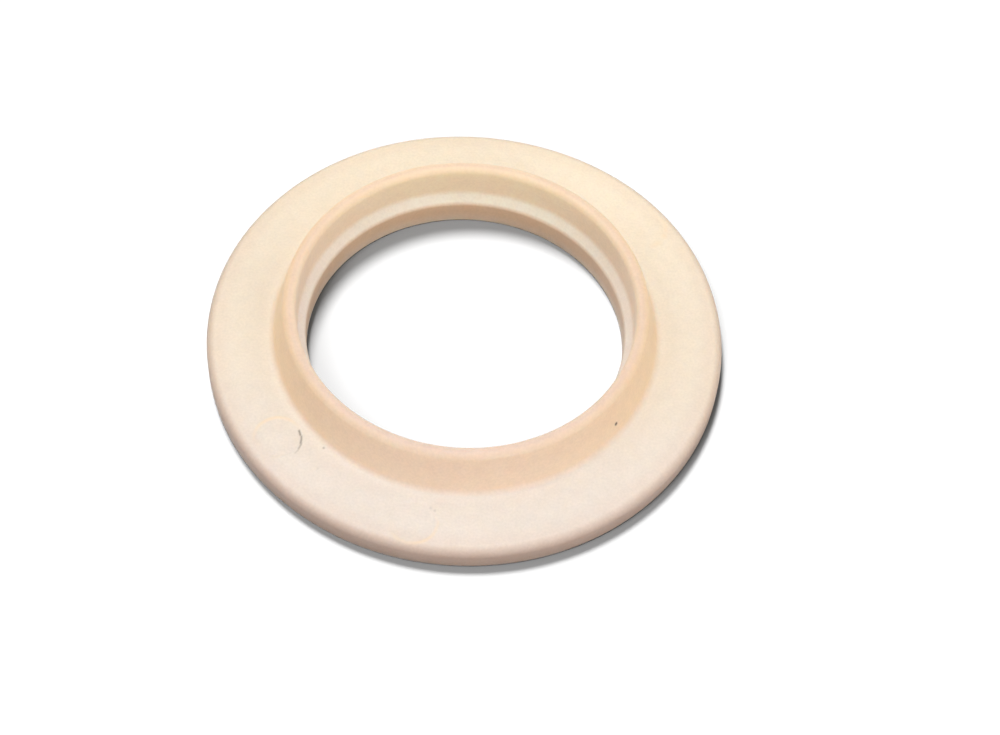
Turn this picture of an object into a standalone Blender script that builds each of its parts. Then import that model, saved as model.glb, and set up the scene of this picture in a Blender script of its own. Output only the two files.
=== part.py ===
"""Conical rubber washer for a basin or cistern waste, moulded as one flanged ring.

The flange lies flat on its underside. A short collar rises round the bore: its outside is a cone with a
rounded shoulder, and its inside is a straight wall that stands on a sloping ledge. The ledge runs down to
the bore. The ejector pins of the mould left shallow round marks in the flange top.

Origin: centre of the bore, level with the underside. +Z up, metres.
"""

from math import cos, pi, radians, sin, tan

import bmesh
import bpy
from mathutils import Vector

MM = 0.001

# Bore, which passes a G 1 1/4 waste tail
bore_diameter = 43.2 * MM
bore_mouth_radius = 0.3 * MM

# Ledge that slopes up from the bore to the foot of the collar's inner wall
bore_edge_rise = 0.2 * MM
bore_edge_radius = 0.15 * MM
ledge_width = 1.15 * MM
ledge_rise = 1.4 * MM
ledge_corner_radius = 0.2 * MM

# Conical collar, measured up from the flange top, with its rim rounded on both sides of a narrow flat
collar_height = 6.25 * MM
collar_lean = radians(14.5)
collar_foot_radius = 0.8 * MM
rim_inner_radius = 0.5 * MM
rim_flat = 0.4 * MM
rim_outer_radius = 1.0 * MM

# Flange, whose width runs from the foot of the collar to the outer edge
flange_width = 8.95 * MM
flange_thickness = 3.5 * MM
flange_top_radius = 1.2 * MM
flange_bottom_radius = 0.5 * MM

# Ejector-pin marks, sunk in the flat of the flange between the collar and the rounded edge
pin_mark_angles = (radians(40), radians(220), radians(262))
pin_mark_depth = 0.06 * MM
pin_mark_collar_gap = 1.2 * MM
pin_mark_edge_gap = 0.1 * MM
cutter_overrun = 1.0 * MM

# Fineness of the round surfaces
turn_steps = 96
shoulder_segments = 7
edge_segments = 6
fillet_segments = 4
small_fillet_segments = 3
pin_mark_segments = 48
merge_distance = 0.00001

# Natural cream rubber
rubber_colour = (0.86, 0.72, 0.57, 1.0)
rubber_roughness = 0.5

# Sizes that follow from the ones above
bore_radius = bore_diameter / 2
bore_edge_height = flange_thickness + bore_edge_rise
ledge_top_height = bore_edge_height + ledge_rise
collar_inside = bore_radius + ledge_width
overall_height = flange_thickness + collar_height
shoulder_half_angle = (pi / 2 + collar_lean) / 2
collar_outside_at_top = collar_inside + rim_inner_radius + rim_flat + rim_outer_radius / tan(shoulder_half_angle)
collar_outside_at_foot = collar_outside_at_top + collar_height * tan(collar_lean)
flange_radius = collar_outside_at_foot + flange_width


def clear_scene():
    """Remove whatever the file opened with."""
    for old_object in list(bpy.data.objects):
        bpy.data.objects.remove(old_object, do_unlink=True)


def new_collection(name):
    """Make a collection and link it to the scene."""
    collection = bpy.data.collections.new(name)
    bpy.context.scene.collection.children.link(collection)
    return collection


def rubber_material():
    """Cream moulded rubber with a soft sheen."""
    material = bpy.data.materials.new("cream_rubber")
    material.use_nodes = True
    shader = material.node_tree.nodes["Principled BSDF"]
    shader.inputs["Base Color"].default_value = rubber_colour
    shader.inputs["Roughness"].default_value = rubber_roughness
    shader.inputs["Metallic"].default_value = 0.0
    material.diffuse_color = rubber_colour
    return material


def rounded_corner(before, corner, after, radius, segments):
    """Arc that rounds a corner of the section between two straight runs."""
    back = (before - corner).normalized()
    ahead = (after - corner).normalized()
    half_angle = back.angle(ahead) / 2
    centre = corner + (back + ahead).normalized() * radius / sin(half_angle)
    first_spoke = (corner + back * radius / tan(half_angle) - centre).normalized()
    last_spoke = (corner + ahead * radius / tan(half_angle) - centre).normalized()
    return [centre + radius * first_spoke.slerp(last_spoke, step / segments) for step in range(segments + 1)]


def washer_section():
    """Closed section of the ring as (radius, height) points, down the outer side and up the bore."""
    corners = [
        (collar_inside, overall_height, rim_inner_radius, fillet_segments),
        (collar_outside_at_top, overall_height, rim_outer_radius, shoulder_segments),
        (collar_outside_at_foot, flange_thickness, collar_foot_radius, fillet_segments),
        (flange_radius, flange_thickness, flange_top_radius, edge_segments),
        (flange_radius, 0, flange_bottom_radius, fillet_segments),
        (bore_radius, 0, bore_mouth_radius, small_fillet_segments),
        (bore_radius, bore_edge_height, bore_edge_radius, small_fillet_segments),
        (collar_inside, ledge_top_height, ledge_corner_radius, small_fillet_segments),
    ]
    places = [Vector((radius, height)) for radius, height, rounding, segments in corners]
    section = []
    for index, (radius, height, rounding, segments) in enumerate(corners):
        before = places[index - 1]
        after = places[(index + 1) % len(places)]
        section += rounded_corner(before, places[index], after, rounding, segments)
    return section


def turned_ring(name, section):
    """Ring turned about Z from its closed section."""
    mesh = bpy.data.meshes.new(name)
    vertices = [(point.x, 0, point.y) for point in section]
    edges = [(index, (index + 1) % len(section)) for index in range(len(section))]
    mesh.from_pydata(vertices, edges, [])
    ring = bpy.data.objects.new(name, mesh)
    screw = ring.modifiers.new("Turn the section", "SCREW")
    screw.axis = "Z"
    screw.angle = 2 * pi
    screw.steps = turn_steps
    screw.render_steps = turn_steps
    screw.use_merge_vertices = True
    screw.merge_threshold = merge_distance
    screw.use_smooth_shade = True
    return ring


def pin_mark_cutter(name, angle):
    """Round cutter for one ejector-pin mark in the flange top."""
    inner_side = collar_outside_at_foot + pin_mark_collar_gap
    outer_side = flange_radius - flange_top_radius - pin_mark_edge_gap
    mark_radius = (outer_side - inner_side) / 2
    mark_distance = (outer_side + inner_side) / 2
    cutter_height = pin_mark_depth + cutter_overrun
    mesh = bpy.data.meshes.new(name)
    shape = bmesh.new()
    bmesh.ops.create_cone(
        shape,
        cap_ends=True,
        segments=pin_mark_segments,
        radius1=mark_radius,
        radius2=mark_radius,
        depth=cutter_height,
    )
    shape.to_mesh(mesh)
    shape.free()
    cutter = bpy.data.objects.new(name, mesh)
    cutter.location.x = mark_distance * cos(angle)
    cutter.location.y = mark_distance * sin(angle)
    cutter.location.z = flange_thickness - pin_mark_depth + cutter_height / 2
    cutter.hide_render = True
    cutter.display_type = "WIRE"
    return cutter


def sink_pin_marks(washer, cutters):
    """Cut the ejector-pin marks and keep the flat faces shaded flat."""
    for index, angle in enumerate(pin_mark_angles, start=1):
        cutter = pin_mark_cutter(f"pin_mark_cutter_{index}", angle)
        cutters.objects.link(cutter)
        cut = washer.modifiers.new(f"Pin mark {index}", "BOOLEAN")
        cut.operation = "DIFFERENCE"
        cut.solver = "EXACT"
        cut.object = cutter
    washer.modifiers.new("Even shading", "WEIGHTED_NORMAL")


def build_washer():
    """Model the whole washer."""
    clear_scene()
    parts = new_collection("conical_rubber_washer")
    cutters = new_collection("cutters")
    washer = turned_ring("conical_washer", washer_section())
    washer.data.materials.append(rubber_material())
    parts.objects.link(washer)
    sink_pin_marks(washer, cutters)


build_washer()
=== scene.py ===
"""Looks of the conical rubber washer: its fine surface, its cream rubber with painted light and shade in its
colours, a white floor and soft light.
"""

from math import cos, pi, radians, sin, tan

import bpy
import numpy as np
from mathutils import Matrix, Vector


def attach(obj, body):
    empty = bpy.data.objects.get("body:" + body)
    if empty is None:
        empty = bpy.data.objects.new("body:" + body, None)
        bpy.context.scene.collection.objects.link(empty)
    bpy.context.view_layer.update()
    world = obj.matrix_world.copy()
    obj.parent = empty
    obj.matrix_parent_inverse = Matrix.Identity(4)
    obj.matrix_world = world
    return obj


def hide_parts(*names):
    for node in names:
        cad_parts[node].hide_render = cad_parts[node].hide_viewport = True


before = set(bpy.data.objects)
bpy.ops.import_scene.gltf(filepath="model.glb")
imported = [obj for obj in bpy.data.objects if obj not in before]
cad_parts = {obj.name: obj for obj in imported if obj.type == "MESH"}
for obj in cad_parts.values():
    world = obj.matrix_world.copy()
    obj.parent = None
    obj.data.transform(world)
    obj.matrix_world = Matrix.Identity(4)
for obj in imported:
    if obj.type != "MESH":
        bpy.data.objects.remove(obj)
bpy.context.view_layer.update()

MM = 0.001
NODE = "conical_washer"

# Camera, fitted to the photograph's outlines, which leave its focal length and distance loose
image_width = 1000
focal_length = 2100
sensor_width = 36.0
camera_elevation = radians(55.26)
camera_roll = radians(4.21)
camera_distance = 288.1 * MM
washer_right_of_aim = -5.06 * MM
washer_above_aim = 2.90 * MM
camera_clip_start = 0.01

# Bore and ledge
bore_radius = 21.6 * MM
bore_mouth_radius = 0.3 * MM
bore_edge_rise = 0.2 * MM
bore_edge_radius = 1.1 * MM
ledge_width = 1.15 * MM
ledge_rise = 1.4 * MM
ledge_corner_radius = 1.1 * MM

# Collar
collar_height = 6.25 * MM
collar_lean = radians(14.5)
collar_foot_radius = 0.8 * MM
rim_inner_radius = 0.8 * MM
rim_flat = 0.1 * MM
rim_outer_radius = 1.0 * MM

# Flange
flange_width = 8.95 * MM
flange_thickness = 3.5 * MM
flange_top_radius = 1.2 * MM
flange_bottom_radius = 0.5 * MM

# Soft ring lying a little out of round: the flange bulges on one side
flange_bulge = 0.3 * MM
bulge_bearing = radians(42)
bulge_spread = radians(28)

# Ejector-pin marks as (bearing, distance from the bore's axis, bearing of the marked side of the edge)
pin_marks = (
    (radians(39.6), 30.9 * MM, radians(340)),
    (radians(220.3), 30.4 * MM, radians(110)),
    (radians(261.6), 31.1 * MM, radians(290)),
)
pin_mark_radius = 3.15 * MM
pin_mark_depth = 0.05 * MM
pin_mark_edge = 0.35 * MM
pin_mark_line = 0.4 * MM
nicked_mark = pin_marks[1]

# Dirty nicks along the edge of the second pin mark, as (radius, first bearing, last bearing, reach, strength)
nick_arcs = (
    (2.95 * MM, radians(27), radians(14), 0.24 * MM, 0.60),
    (3.08 * MM, radians(9), radians(-10), 0.24 * MM, 0.55),
    (3.20 * MM, radians(-10), radians(-26), 0.22 * MM, 0.36),
    (3.30 * MM, radians(-26), radians(-40), 0.20 * MM, 0.20),
)
nick_depth = 0.08 * MM

# Loose dirt on the flange top as (bearing, distance from the axis, reach, strength)
flange_dots = (
    (radians(230.5), 26.84 * MM, 0.28 * MM, 0.42),
    (radians(233.8), 29.65 * MM, 0.30 * MM, 0.14),
    (radians(265.0), 28.66 * MM, 0.34 * MM, 0.17),
    (radians(266.2), 29.00 * MM, 0.30 * MM, 0.19),
    (radians(194.4), 26.40 * MM, 0.28 * MM, 0.15),
    (radians(345.0), 31.00 * MM, 0.28 * MM, 0.12),
    (radians(4.5), 28.80 * MM, 0.28 * MM, 0.12),
)

# Dark speck on the cone
speck_bearing = radians(324.4)
speck_height = 5.4 * MM
speck_reach = 0.36 * MM
speck_core_share = 0.4

# Widths over which marks and tints fade at an edge, and a slack for heights and radii that should be equal
edge_blend = 0.3 * MM
equal_slack = 0.01 * MM

# Fineness of the surface
turn_step = radians(1.2)
fine_step = radians(0.15)
fine_stretches = ((radians(213), radians(235)), (radians(258), radians(269)), (radians(323), radians(326)))
shoulder_rows = 12
edge_rows = 12
fillet_rows = 6
rim_rows = 3
flange_rows = 58
cone_rows = 28
wall_rows = 10
ledge_rows = 6
underside_rows = 8
outer_edge_rows = 3

# Colour of each face of the section, down the outer side and up the bore: the cream rubber's colour with
# painted light and shade, made paler on the inner wall as painted light and on the ledge as a painted
# highlight, darker on the rim, outer edge and bore and deeper on the cone as painted shade
rim_colour_and_painted_shade = (0.797, 0.602, 0.499)
cone_colour_and_painted_shade = (0.967, 0.750, 0.572)
flange_colour = (0.858, 0.754, 0.666)
outer_edge_colour_and_painted_shade = (0.624, 0.437, 0.343)
underside_colour = (0.850, 0.705, 0.610)
bore_colour_and_painted_shade = (0.765, 0.530, 0.375)
ledge_colour_and_painted_highlight = (0.995, 0.840, 0.775)
inner_wall_colour_and_painted_light = (0.995, 0.775, 0.605)

# Painted light that lifts the shade on the flange by the collar's foot, a paler bloom low in the bore and
# deeper margins, laid over those colours, as shares of red, green and blue
foot_painted_light = 0.09
foot_painted_light_reach = 2.2 * MM
margin_depth = (0.03, 0.06, 0.07)
margin_reach = 3.5 * MM
bore_bloom = (0.10, 0.24, 0.50)
bore_bloom_reach = 2.4 * MM
# Painted shade: the cone's two sides made deeper in green and blue than its near and far sides
cone_side_painted_shade = (0.00, 0.04, 0.13)

# Colour of the darker line along one side of each pin mark's edge, and of the dirt
mark_colour = (0.86, 0.68, 0.46, 1)
mark_share = 0.55
dirt_colour = (0.075, 0.045, 0.035, 1)

# Drift of the tint from the near side, over the middle, to the far side
near_tint = (0.902, 0.923, 0.932, 1)
middle_tint = (0.930, 0.932, 0.862, 1)
far_tint = (1.000, 1.000, 0.895, 1)
drift_reach = 28 * MM

# Noise on the skin, whose depth is the share by which it makes the colour lighter and darker
noise_low = 0.3
noise_high = 0.7
cloud_size = 9 * MM
cloud_detail = 2
cloud_depth = 0.01
mottle_size = 1.6 * MM
mottle_detail = 3
mottle_depth = 0.02
grain_size = 0.35 * MM
grain_detail = 2
grain_depth = 0.035
grain_height = 0.012 * MM
wave_size = 6 * MM
wave_detail = 1
wave_height = 0.08 * MM

# Sheen of the skin, and the depth to which light sinks in
sheen_patch_size = 3 * MM
sheen_patch_detail = 3
least_roughness = 0.42
most_roughness = 0.56
scatter_weight = 1.0
scatter_radius = (0.75, 0.6, 0.45)
scatter_depth = 2.5 * MM

# Studio lamps as (azimuth, elevation, distance, width, strength), where 1 lights a white sheet fully
floor_lamps = (
    (radians(117), radians(66), 2.0, 0.50, 7.60),
    (radians(228), radians(62), 2.0, 0.70, 1.95),
    (radians(190), radians(62), 2.0, 0.70, 0.25),
)
washer_lamps = (
    (radians(118), radians(76), 0.6, 0.3, 0.22),
    (radians(180), radians(60), 0.8, 0.4, 0.10),
    (radians(305), radians(19), 0.8, 0.35, 0.22),
)
horizon_strength = 0.45
zenith_strength = 1.00
world_colour = (1, 1, 1, 1)

# Floor: how much light it sends to the camera and to the washer, and a faint glow that lifts its shadow
floor_size = 4
floor_grey = 0.11
floor_bounce = 0.031
floor_lift = 0.02

# Sizes that follow from the ones above
bore_edge_height = flange_thickness + bore_edge_rise
ledge_top_height = bore_edge_height + ledge_rise
collar_inside = bore_radius + ledge_width
overall_height = flange_thickness + collar_height
shoulder_half_angle = (pi / 2 + collar_lean) / 2
shoulder_run = rim_outer_radius / tan(shoulder_half_angle)
collar_outside_at_top = collar_inside + rim_inner_radius + rim_flat + shoulder_run
collar_outside_at_foot = collar_outside_at_top + collar_height * tan(collar_lean)
flange_radius = collar_outside_at_foot + flange_width


def rounded_corner(before, corner, after, radius, rows):
    """Arc that rounds a corner of the section between two straight runs."""
    back = (before - corner).normalized()
    ahead = (after - corner).normalized()
    half_angle = back.angle(ahead) / 2
    centre = corner + (back + ahead).normalized() * radius / sin(half_angle)
    first_spoke = (corner + back * radius / tan(half_angle) - centre).normalized()
    last_spoke = (corner + ahead * radius / tan(half_angle) - centre).normalized()
    return [centre + radius * first_spoke.slerp(last_spoke, step / rows) for step in range(rows + 1)]


def washer_section():
    """Section as (radius, height) points with a colour for each, down the outer side and up the bore.

    Each corner has its place and rounding, the rows in its rounding and in the run after it, and the colour
    of that run.
    """
    foot = (collar_outside_at_foot, flange_thickness)
    # The run colours carry painted light and shade: a painted highlight on the ledge, painted light on the
    # inner wall, painted shade on the rim, cone, outer edge and bore
    corners = [
        (collar_inside, overall_height, rim_inner_radius, fillet_rows, rim_rows, rim_colour_and_painted_shade),
        (collar_outside_at_top, overall_height, rim_outer_radius, shoulder_rows, cone_rows, cone_colour_and_painted_shade),
        (*foot, collar_foot_radius, fillet_rows, flange_rows, flange_colour),
        (flange_radius, flange_thickness, flange_top_radius, edge_rows, outer_edge_rows, outer_edge_colour_and_painted_shade),
        (flange_radius, 0, flange_bottom_radius, fillet_rows, underside_rows, underside_colour),
        (bore_radius, 0, bore_mouth_radius, fillet_rows, wall_rows, bore_colour_and_painted_shade),
        (bore_radius, bore_edge_height, bore_edge_radius, fillet_rows, ledge_rows, ledge_colour_and_painted_highlight),
        (collar_inside, ledge_top_height, ledge_corner_radius, fillet_rows, wall_rows, inner_wall_colour_and_painted_light),
    ]
    places = [Vector(corner[:2]) for corner in corners]
    arcs = []
    for index, (radius, height, rounding, rows, rows_after, colour) in enumerate(corners):
        after = places[(index + 1) % len(places)]
        arcs.append(rounded_corner(places[index - 1], places[index], after, rounding, rows))
    section = []
    colours = []
    for index, arc in enumerate(arcs):
        colour_before = Vector(corners[index - 1][-1])
        colour_after = Vector(corners[index][-1])
        rows_after = corners[index][-2]
        next_start = arcs[(index + 1) % len(arcs)][0]
        section += arc
        section += [arc[-1].lerp(next_start, step / rows_after) for step in range(1, rows_after)]
        colours += [colour_before.lerp(colour_after, step / (len(arc) - 1)) for step in range(len(arc))]
        colours += [colour_after] * (rows_after - 1)
    return section, colours


def turn_angles():
    """Angles of the section round the axis, closer together where the small marks are."""
    angles = list(np.arange(0, 2 * pi - turn_step / 2, turn_step))
    for start, end in fine_stretches:
        angles = [angle for angle in angles if not start - turn_step / 2 < angle < end + turn_step / 2]
        angles += list(np.arange(start, end + fine_step / 2, fine_step))
    return np.array(sorted(angles))


def smooth_step(value, low, high):
    """0 below low, 1 above high, and a smooth ramp between."""
    ramp = np.clip((value - low) / (high - low), 0, 1)
    return ramp * ramp * (3 - 2 * ramp)


def mark_centre(bearing, distance):
    """Place on the flange top, as x and y."""
    return distance * cos(bearing), distance * sin(bearing)


def pin_mark_sink(x, y):
    """How far the flange top sinks at each place, for the ejector-pin marks."""
    sink = np.zeros_like(x)
    for pin_mark in pin_marks:
        centre_x, centre_y = mark_centre(*pin_mark[:2])
        away = np.hypot(x - centre_x, y - centre_y)
        sink += pin_mark_depth * (1 - smooth_step(away, pin_mark_radius - pin_mark_edge, pin_mark_radius))
    return sink


def pin_mark_lines(x, y):
    """Strength of the faint darker line along the marked side of each pin mark's edge."""
    strength = np.zeros_like(x)
    for bearing, distance, marked_side in pin_marks:
        centre_x, centre_y = mark_centre(bearing, distance)
        away = np.hypot(x - centre_x, y - centre_y)
        around = np.arctan2(y - centre_y, x - centre_x)
        on_side = np.clip(np.cos(around - marked_side), 0, 1)
        line = 1 - smooth_step(np.abs(away - pin_mark_radius), 0, pin_mark_line)
        strength += line * on_side
    return np.clip(strength, 0, 1)


def arc_nearness(x, y, centre, radius, first, last, reach):
    """1 on an arc, fading to 0 at the reach from it."""
    around = np.arctan2(y - centre[1], x - centre[0])
    held = np.clip(around, min(first, last), max(first, last))
    away = np.hypot(x - centre[0] - radius * np.cos(held), y - centre[1] - radius * np.sin(held))
    return 1 - smooth_step(away, 0, reach)


def flange_dirt(x, y):
    """Strength of the dirt in the nicks and dots of the flange top."""
    dirt = np.zeros_like(x)
    centre = mark_centre(*nicked_mark[:2])
    for radius, first, last, reach, strength in nick_arcs:
        dirt = np.maximum(dirt, strength * arc_nearness(x, y, centre, radius, first, last, reach))
    for bearing, distance, reach, strength in flange_dots:
        dot_x, dot_y = mark_centre(bearing, distance)
        dirt = np.maximum(dirt, strength * (1 - smooth_step(np.hypot(x - dot_x, y - dot_y), 0, reach)))
    return dirt


def speck_dirt(x, y, z):
    """Strength of the dark speck on the cone."""
    speck_radius = collar_outside_at_foot - (speck_height - flange_thickness) * tan(collar_lean)
    away_x = x - speck_radius * cos(speck_bearing)
    away_y = y - speck_radius * sin(speck_bearing)
    away = np.sqrt(away_x ** 2 + away_y ** 2 + (z - speck_height) ** 2)
    return 1 - smooth_step(away, speck_core_share * speck_reach, speck_reach)


def flange_swell(turn, radius):
    """How far each place of the flange lies outside its circle."""
    away = (turn - bulge_bearing + pi) % (2 * pi) - pi
    share = smooth_step(radius, collar_outside_at_foot, flange_radius)
    return flange_bulge * np.outer(np.exp(-(away / bulge_spread) ** 2), share)


def note(mesh, name, values):
    """Note a value for each vertex on the mesh."""
    mesh.attributes.new(name, "FLOAT", "POINT").data.foreach_set("value", values.ravel())


def section_tint(radius, height, colours):
    """Colours along the section: painted light on the flange by the collar's foot, paler low in the bore,
    deeper by the outer edge.
    """
    tint = np.array([tuple(colour) for colour in colours])
    # Painted light: the flange made paler near the collar's foot, where the collar shades it
    from_foot = smooth_step(np.abs(radius - collar_outside_at_foot), 0, foot_painted_light_reach)
    on_flange = smooth_step(radius, collar_outside_at_foot - edge_blend, collar_outside_at_foot + edge_blend)
    tint *= (1 + foot_painted_light * (1 - from_foot) * on_flange)[:, None]
    in_margin = smooth_step(radius, flange_radius - margin_reach, flange_radius - flange_top_radius)
    in_margin *= smooth_step(height, flange_thickness - flange_top_radius, flange_thickness)
    in_margin *= height < flange_thickness + equal_slack
    tint *= 1 - np.outer(in_margin, margin_depth)
    in_bore = (1 - smooth_step(height, 0, bore_bloom_reach)) * (radius < bore_radius + equal_slack)
    tint *= 1 + np.outer(in_bore, bore_bloom)
    return tint


def turned_tint(turn, radius, height, tint):
    """Colours all round the washer, with painted shade deepening the two sides of the cone, with a full
    alpha.
    """
    on_cone = smooth_step(radius, collar_outside_at_top - rim_outer_radius, collar_outside_at_top)
    on_cone *= smooth_step(height, flange_thickness, flange_thickness + collar_foot_radius)
    # Painted shade on the cone's two sides
    at_sides = np.outer(np.cos(turn) ** 2, on_cone)
    tint = tint * (1 - at_sides[:, :, None] * np.array(cone_side_painted_shade))
    return np.concatenate([tint, np.ones((*at_sides.shape, 1))], axis=-1)


def turned_faces(steps, rows):
    """Four-sided faces between the neighbouring points of the turned section."""
    here = np.arange(steps * rows).reshape(steps, rows)
    next_turn = np.roll(here, -1, axis=0)
    next_row = np.roll(here, -1, axis=1)
    next_both = np.roll(next_turn, -1, axis=1)
    return np.stack([here, next_row, next_both, next_turn], axis=-1).reshape(-1, 4)


def fine_washer():
    """Fine mesh of the washer, turned from its section, with its marks sunk in and its dirt, mark lines and
    tint noted; the tint holds painted light and shade.
    """
    section, colours = washer_section()
    radius = np.array([point.x for point in section])
    height = np.array([point.y for point in section])
    turn = turn_angles()
    swollen = radius + flange_swell(turn, radius)
    x = np.cos(turn)[:, None] * swollen
    y = np.sin(turn)[:, None] * swollen
    z = np.outer(np.ones(len(turn)), height)
    on_top = smooth_step(z, flange_thickness - edge_blend, flange_thickness)
    on_top *= z < flange_thickness + equal_slack
    nicks = flange_dirt(x, y) * on_top
    dirt = np.maximum(nicks, speck_dirt(x, y, z))
    z = z - (pin_mark_sink(x, y) + nick_depth * nicks) * on_top

    mesh = bpy.data.meshes.new("washer_surface")
    vertices = np.stack([x, y, z], axis=-1).reshape(-1, 3)
    faces = turned_faces(len(turn), len(section))
    mesh.from_pydata(vertices.tolist(), [], faces.tolist())
    mesh.shade_smooth()
    note(mesh, "dirt", dirt)
    note(mesh, "mark", pin_mark_lines(x, y) * on_top)
    tint = turned_tint(turn, radius, height, section_tint(radius, height, colours))
    mesh.attributes.new("tint", "FLOAT_COLOR", "POINT").data.foreach_set("color", tint.ravel())
    piece = bpy.data.objects.new("washer_surface", mesh)
    bpy.context.scene.collection.objects.link(piece)
    return piece


def noise(tree, place, size, detail):
    """Soft noise over the object, with features of the given size."""
    node = tree.nodes.new("ShaderNodeTexNoise")
    node.inputs["Scale"].default_value = 1 / size
    node.inputs["Detail"].default_value = detail
    tree.links.new(place, node.inputs["Vector"])
    return node.outputs["Fac"]


def mapped(tree, value, low, high, at_low, at_high):
    """A value carried from one span to another and held at its ends."""
    node = tree.nodes.new("ShaderNodeMapRange")
    node.inputs["From Min"].default_value = low
    node.inputs["From Max"].default_value = high
    node.inputs["To Min"].default_value = at_low
    node.inputs["To Max"].default_value = at_high
    tree.links.new(value, node.inputs["Value"])
    return node.outputs["Result"]


def mixed(tree, share, first, second):
    """Two colours mixed by a share, each given as a colour or as a socket."""
    node = tree.nodes.new("ShaderNodeMix")
    node.data_type = "RGBA"
    tree.links.new(share, node.inputs["Factor"])
    for socket, colour in ((node.inputs[6], first), (node.inputs[7], second)):
        if isinstance(colour, tuple):
            socket.default_value = colour
        else:
            tree.links.new(colour, socket)
    return node.outputs[2]


def scaled(tree, colour, brightness):
    """A colour made lighter or darker by a value around 1."""
    node = tree.nodes.new("ShaderNodeVectorMath")
    node.operation = "SCALE"
    tree.links.new(colour, node.inputs[0])
    tree.links.new(brightness, node.inputs["Scale"])
    return node.outputs[0]


def noted(tree, name):
    """A value noted on the mesh."""
    node = tree.nodes.new("ShaderNodeAttribute")
    node.attribute_name = name
    return node.outputs["Fac"]


def product(tree, first, second):
    """Two values multiplied."""
    node = tree.nodes.new("ShaderNodeMath")
    node.operation = "MULTIPLY"
    for socket, value in ((node.inputs[0], first), (node.inputs[1], second)):
        tree.links.new(value, socket)
    return node.outputs[0]


def raised(tree, height, distance, under):
    """Bump of the given depth, laid over the bump under it."""
    node = tree.nodes.new("ShaderNodeBump")
    node.inputs["Distance"].default_value = distance
    tree.links.new(height, node.inputs["Height"])
    if under is not None:
        tree.links.new(under, node.inputs["Normal"])
    return node.outputs["Normal"]


def varied(tree, pattern, depth):
    """A brightness that follows a noise, between 1 minus the depth and 1 plus the depth."""
    return mapped(tree, pattern, noise_low, noise_high, 1 - depth, 1 + depth)


def drifting_tint(tree, place):
    """The tint noted on the mesh, with its painted light and shade, drifting from the near side to the far
    side.
    """
    parts = tree.nodes.new("ShaderNodeSeparateXYZ")
    tree.links.new(place, parts.inputs[0])
    drift = tree.nodes.new("ShaderNodeValToRGB")
    drift.color_ramp.interpolation = "EASE"
    drift.color_ramp.elements.new(0.5).color = middle_tint
    drift.color_ramp.elements[0].color = near_tint
    drift.color_ramp.elements[2].color = far_tint
    tree.links.new(mapped(tree, parts.outputs["Y"], -drift_reach, drift_reach, 0, 1), drift.inputs["Fac"])
    tint = tree.nodes.new("ShaderNodeAttribute")
    tint.attribute_name = "tint"
    drifted = tree.nodes.new("ShaderNodeVectorMath")
    drifted.operation = "MULTIPLY"
    tree.links.new(tint.outputs["Color"], drifted.inputs[0])
    tree.links.new(drift.outputs["Color"], drifted.inputs[1])
    return drifted.outputs[0]


def skin_colour(tree, place, grain):
    """Drifting tint, with its painted light and shade, clouds, mottle and grain, and with the pin-mark lines
    and dirt over them.
    """
    cloud = varied(tree, noise(tree, place, cloud_size, cloud_detail), cloud_depth)
    mottle = varied(tree, noise(tree, place, mottle_size, mottle_detail), mottle_depth)
    speckle = varied(tree, grain, grain_depth)
    shade = product(tree, product(tree, cloud, mottle), speckle)
    colour = scaled(tree, drifting_tint(tree, place), shade)
    mark = mapped(tree, noted(tree, "mark"), 0, 1, 0, mark_share)
    colour = mixed(tree, mark, colour, mark_colour)
    return mixed(tree, noted(tree, "dirt"), colour, dirt_colour)


def skin_roughness(tree, place):
    """Patches in which the skin is a little duller or glossier."""
    patches = noise(tree, place, sheen_patch_size, sheen_patch_detail)
    return mapped(tree, patches, noise_low, noise_high, least_roughness, most_roughness)


def rubber_material():
    """Cream moulded rubber with painted light and shade in its tint: drifting tint, mottled satin skin and
    light that sinks in a little.
    """
    material = bpy.data.materials.new("cream_rubber_with_painted_light")
    material.use_nodes = True
    tree = material.node_tree
    shader = tree.nodes["Principled BSDF"]
    coordinates = tree.nodes.new("ShaderNodeTexCoord")
    place = coordinates.outputs["Object"]
    grain = noise(tree, place, grain_size, grain_detail)
    waves = raised(tree, noise(tree, place, wave_size, wave_detail), wave_height, None)
    tree.links.new(skin_colour(tree, place, grain), shader.inputs["Base Color"])
    tree.links.new(skin_roughness(tree, place), shader.inputs["Roughness"])
    tree.links.new(raised(tree, grain, grain_height, waves), shader.inputs["Normal"])
    shader.inputs["Subsurface Weight"].default_value = scatter_weight
    shader.inputs["Subsurface Radius"].default_value = scatter_radius
    shader.inputs["Subsurface Scale"].default_value = scatter_depth
    return material


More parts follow.
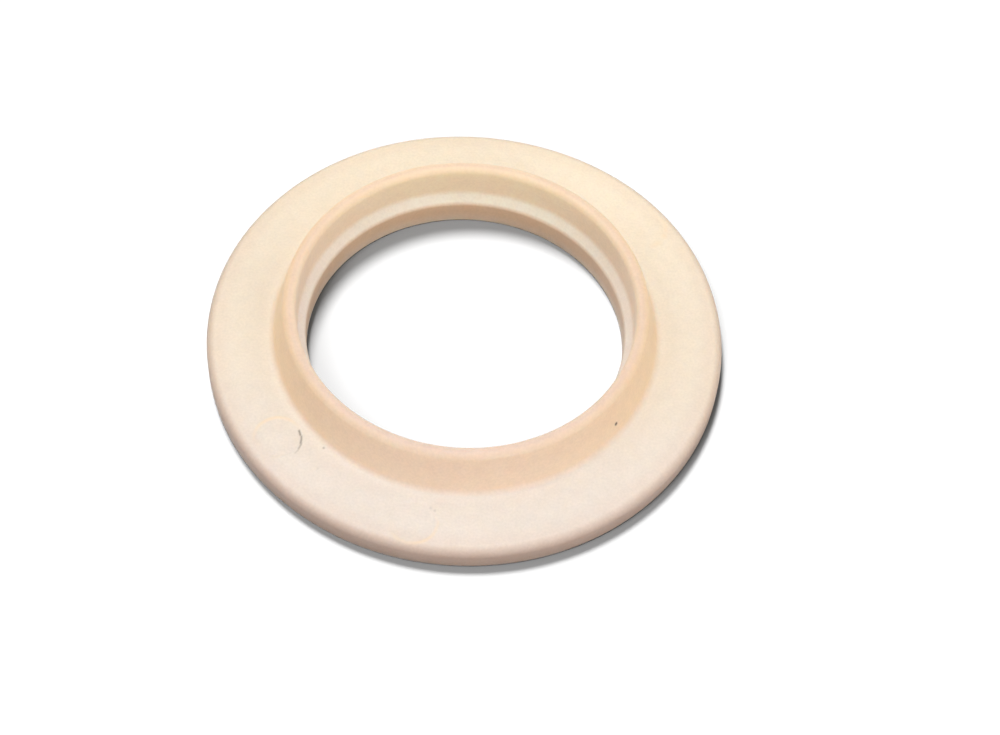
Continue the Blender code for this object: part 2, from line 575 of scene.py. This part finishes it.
def floor_material():
    """Floor that its own lamps make white to the camera, and that throws little light at the washer."""
    material = bpy.data.materials.new("white_floor")
    material.use_nodes = True
    tree = material.node_tree
    tree.nodes.clear()
    output = tree.nodes.new("ShaderNodeOutputMaterial")
    bounce = tree.nodes.new("ShaderNodeBsdfDiffuse")
    bounce.inputs["Color"].default_value = (floor_bounce, floor_bounce, floor_bounce, 1)
    seen = tree.nodes.new("ShaderNodeBsdfDiffuse")
    seen.inputs["Color"].default_value = (floor_grey, floor_grey, floor_grey, 1)
    lift = tree.nodes.new("ShaderNodeEmission")
    lift.inputs["Strength"].default_value = floor_lift
    both = tree.nodes.new("ShaderNodeAddShader")
    path = tree.nodes.new("ShaderNodeLightPath")
    mix = tree.nodes.new("ShaderNodeMixShader")
    shown = path.outputs["Is Camera Ray"]
    for other in ("Is Glossy Ray", "Is Transmission Ray"):
        either = tree.nodes.new("ShaderNodeMath")
        either.operation = "MAXIMUM"
        tree.links.new(shown, either.inputs[0])
        tree.links.new(path.outputs[other], either.inputs[1])
        shown = either.outputs[0]
    tree.links.new(shown, mix.inputs[0])
    tree.links.new(bounce.outputs[0], mix.inputs[1])
    tree.links.new(seen.outputs[0], both.inputs[0])
    tree.links.new(lift.outputs[0], both.inputs[1])
    tree.links.new(both.outputs[0], mix.inputs[2])
    tree.links.new(mix.outputs[0], output.inputs["Surface"])
    return material


def add_floor():
    """Large floor, level with the washer's underside."""
    bpy.ops.mesh.primitive_plane_add(size=floor_size)
    floor = bpy.context.object
    floor.name = "floor"
    floor.data.materials.append(floor_material())
    return floor


def add_lamp(name, setting, lit):
    """Soft round lamp that faces the washer and lights only the object named."""
    azimuth, elevation, distance, width, strength = setting
    lamp = bpy.data.lights.new(name, "AREA")
    lamp.shape = "DISK"
    lamp.size = width
    lamp.energy = strength * pi ** 2 * distance ** 2
    holder = bpy.data.objects.new(name, lamp)
    towards = Vector((cos(elevation) * cos(azimuth), cos(elevation) * sin(azimuth), sin(elevation)))
    holder.location = towards * distance
    holder.rotation_euler = towards.to_track_quat("Z", "Y").to_euler()
    bpy.context.scene.collection.objects.link(holder)
    receivers = bpy.data.collections.new(name + "_lights")
    receivers.objects.link(lit)
    holder.light_linking.receiver_collection = receivers


def set_world():
    """Pale surroundings, bright overhead and dark at the horizon."""
    world = bpy.data.worlds.new("studio")
    bpy.context.scene.world = world
    world.use_nodes = True
    tree = world.node_tree
    direction = tree.nodes.new("ShaderNodeTexCoord")
    parts = tree.nodes.new("ShaderNodeSeparateXYZ")
    tree.links.new(direction.outputs["Generated"], parts.inputs[0])
    strength = mapped(tree, parts.outputs["Z"], 0, 1, horizon_strength, zenith_strength)
    tree.links.new(strength, tree.nodes["Background"].inputs["Strength"])
    tree.nodes["Background"].inputs["Color"].default_value = world_colour


def add_camera():
    """Camera at the photograph's angle, with the distance and field of view of the fit."""
    right = Vector((1, 0, 0))
    up = Vector((0, sin(camera_elevation), cos(camera_elevation)))
    back = right.cross(up)
    data = bpy.data.cameras.new("camera")
    data.sensor_width = sensor_width
    data.lens = focal_length / image_width * sensor_width
    data.clip_start = camera_clip_start
    camera = bpy.data.objects.new("camera", data)
    facing = Matrix((right, up, back)).transposed() @ Matrix.Rotation(camera_roll, 3, "Z")
    place = back * camera_distance - right * washer_right_of_aim - up * washer_above_aim
    camera.matrix_world = Matrix.Translation(place) @ facing.to_4x4()
    bpy.context.scene.collection.objects.link(camera)
    bpy.context.scene.camera = camera


washer = fine_washer()
washer.data.materials.append(rubber_material())
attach(washer, "root")
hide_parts(NODE)
floor = add_floor()
for index, setting in enumerate(floor_lamps, start=1):
    add_lamp(f"floor_lamp_{index}", setting, floor)
for index, setting in enumerate(washer_lamps, start=1):
    add_lamp(f"washer_lamp_{index}", setting, washer)
set_world()
add_camera()
bpy.context.scene.view_settings.view_transform = "Standard"
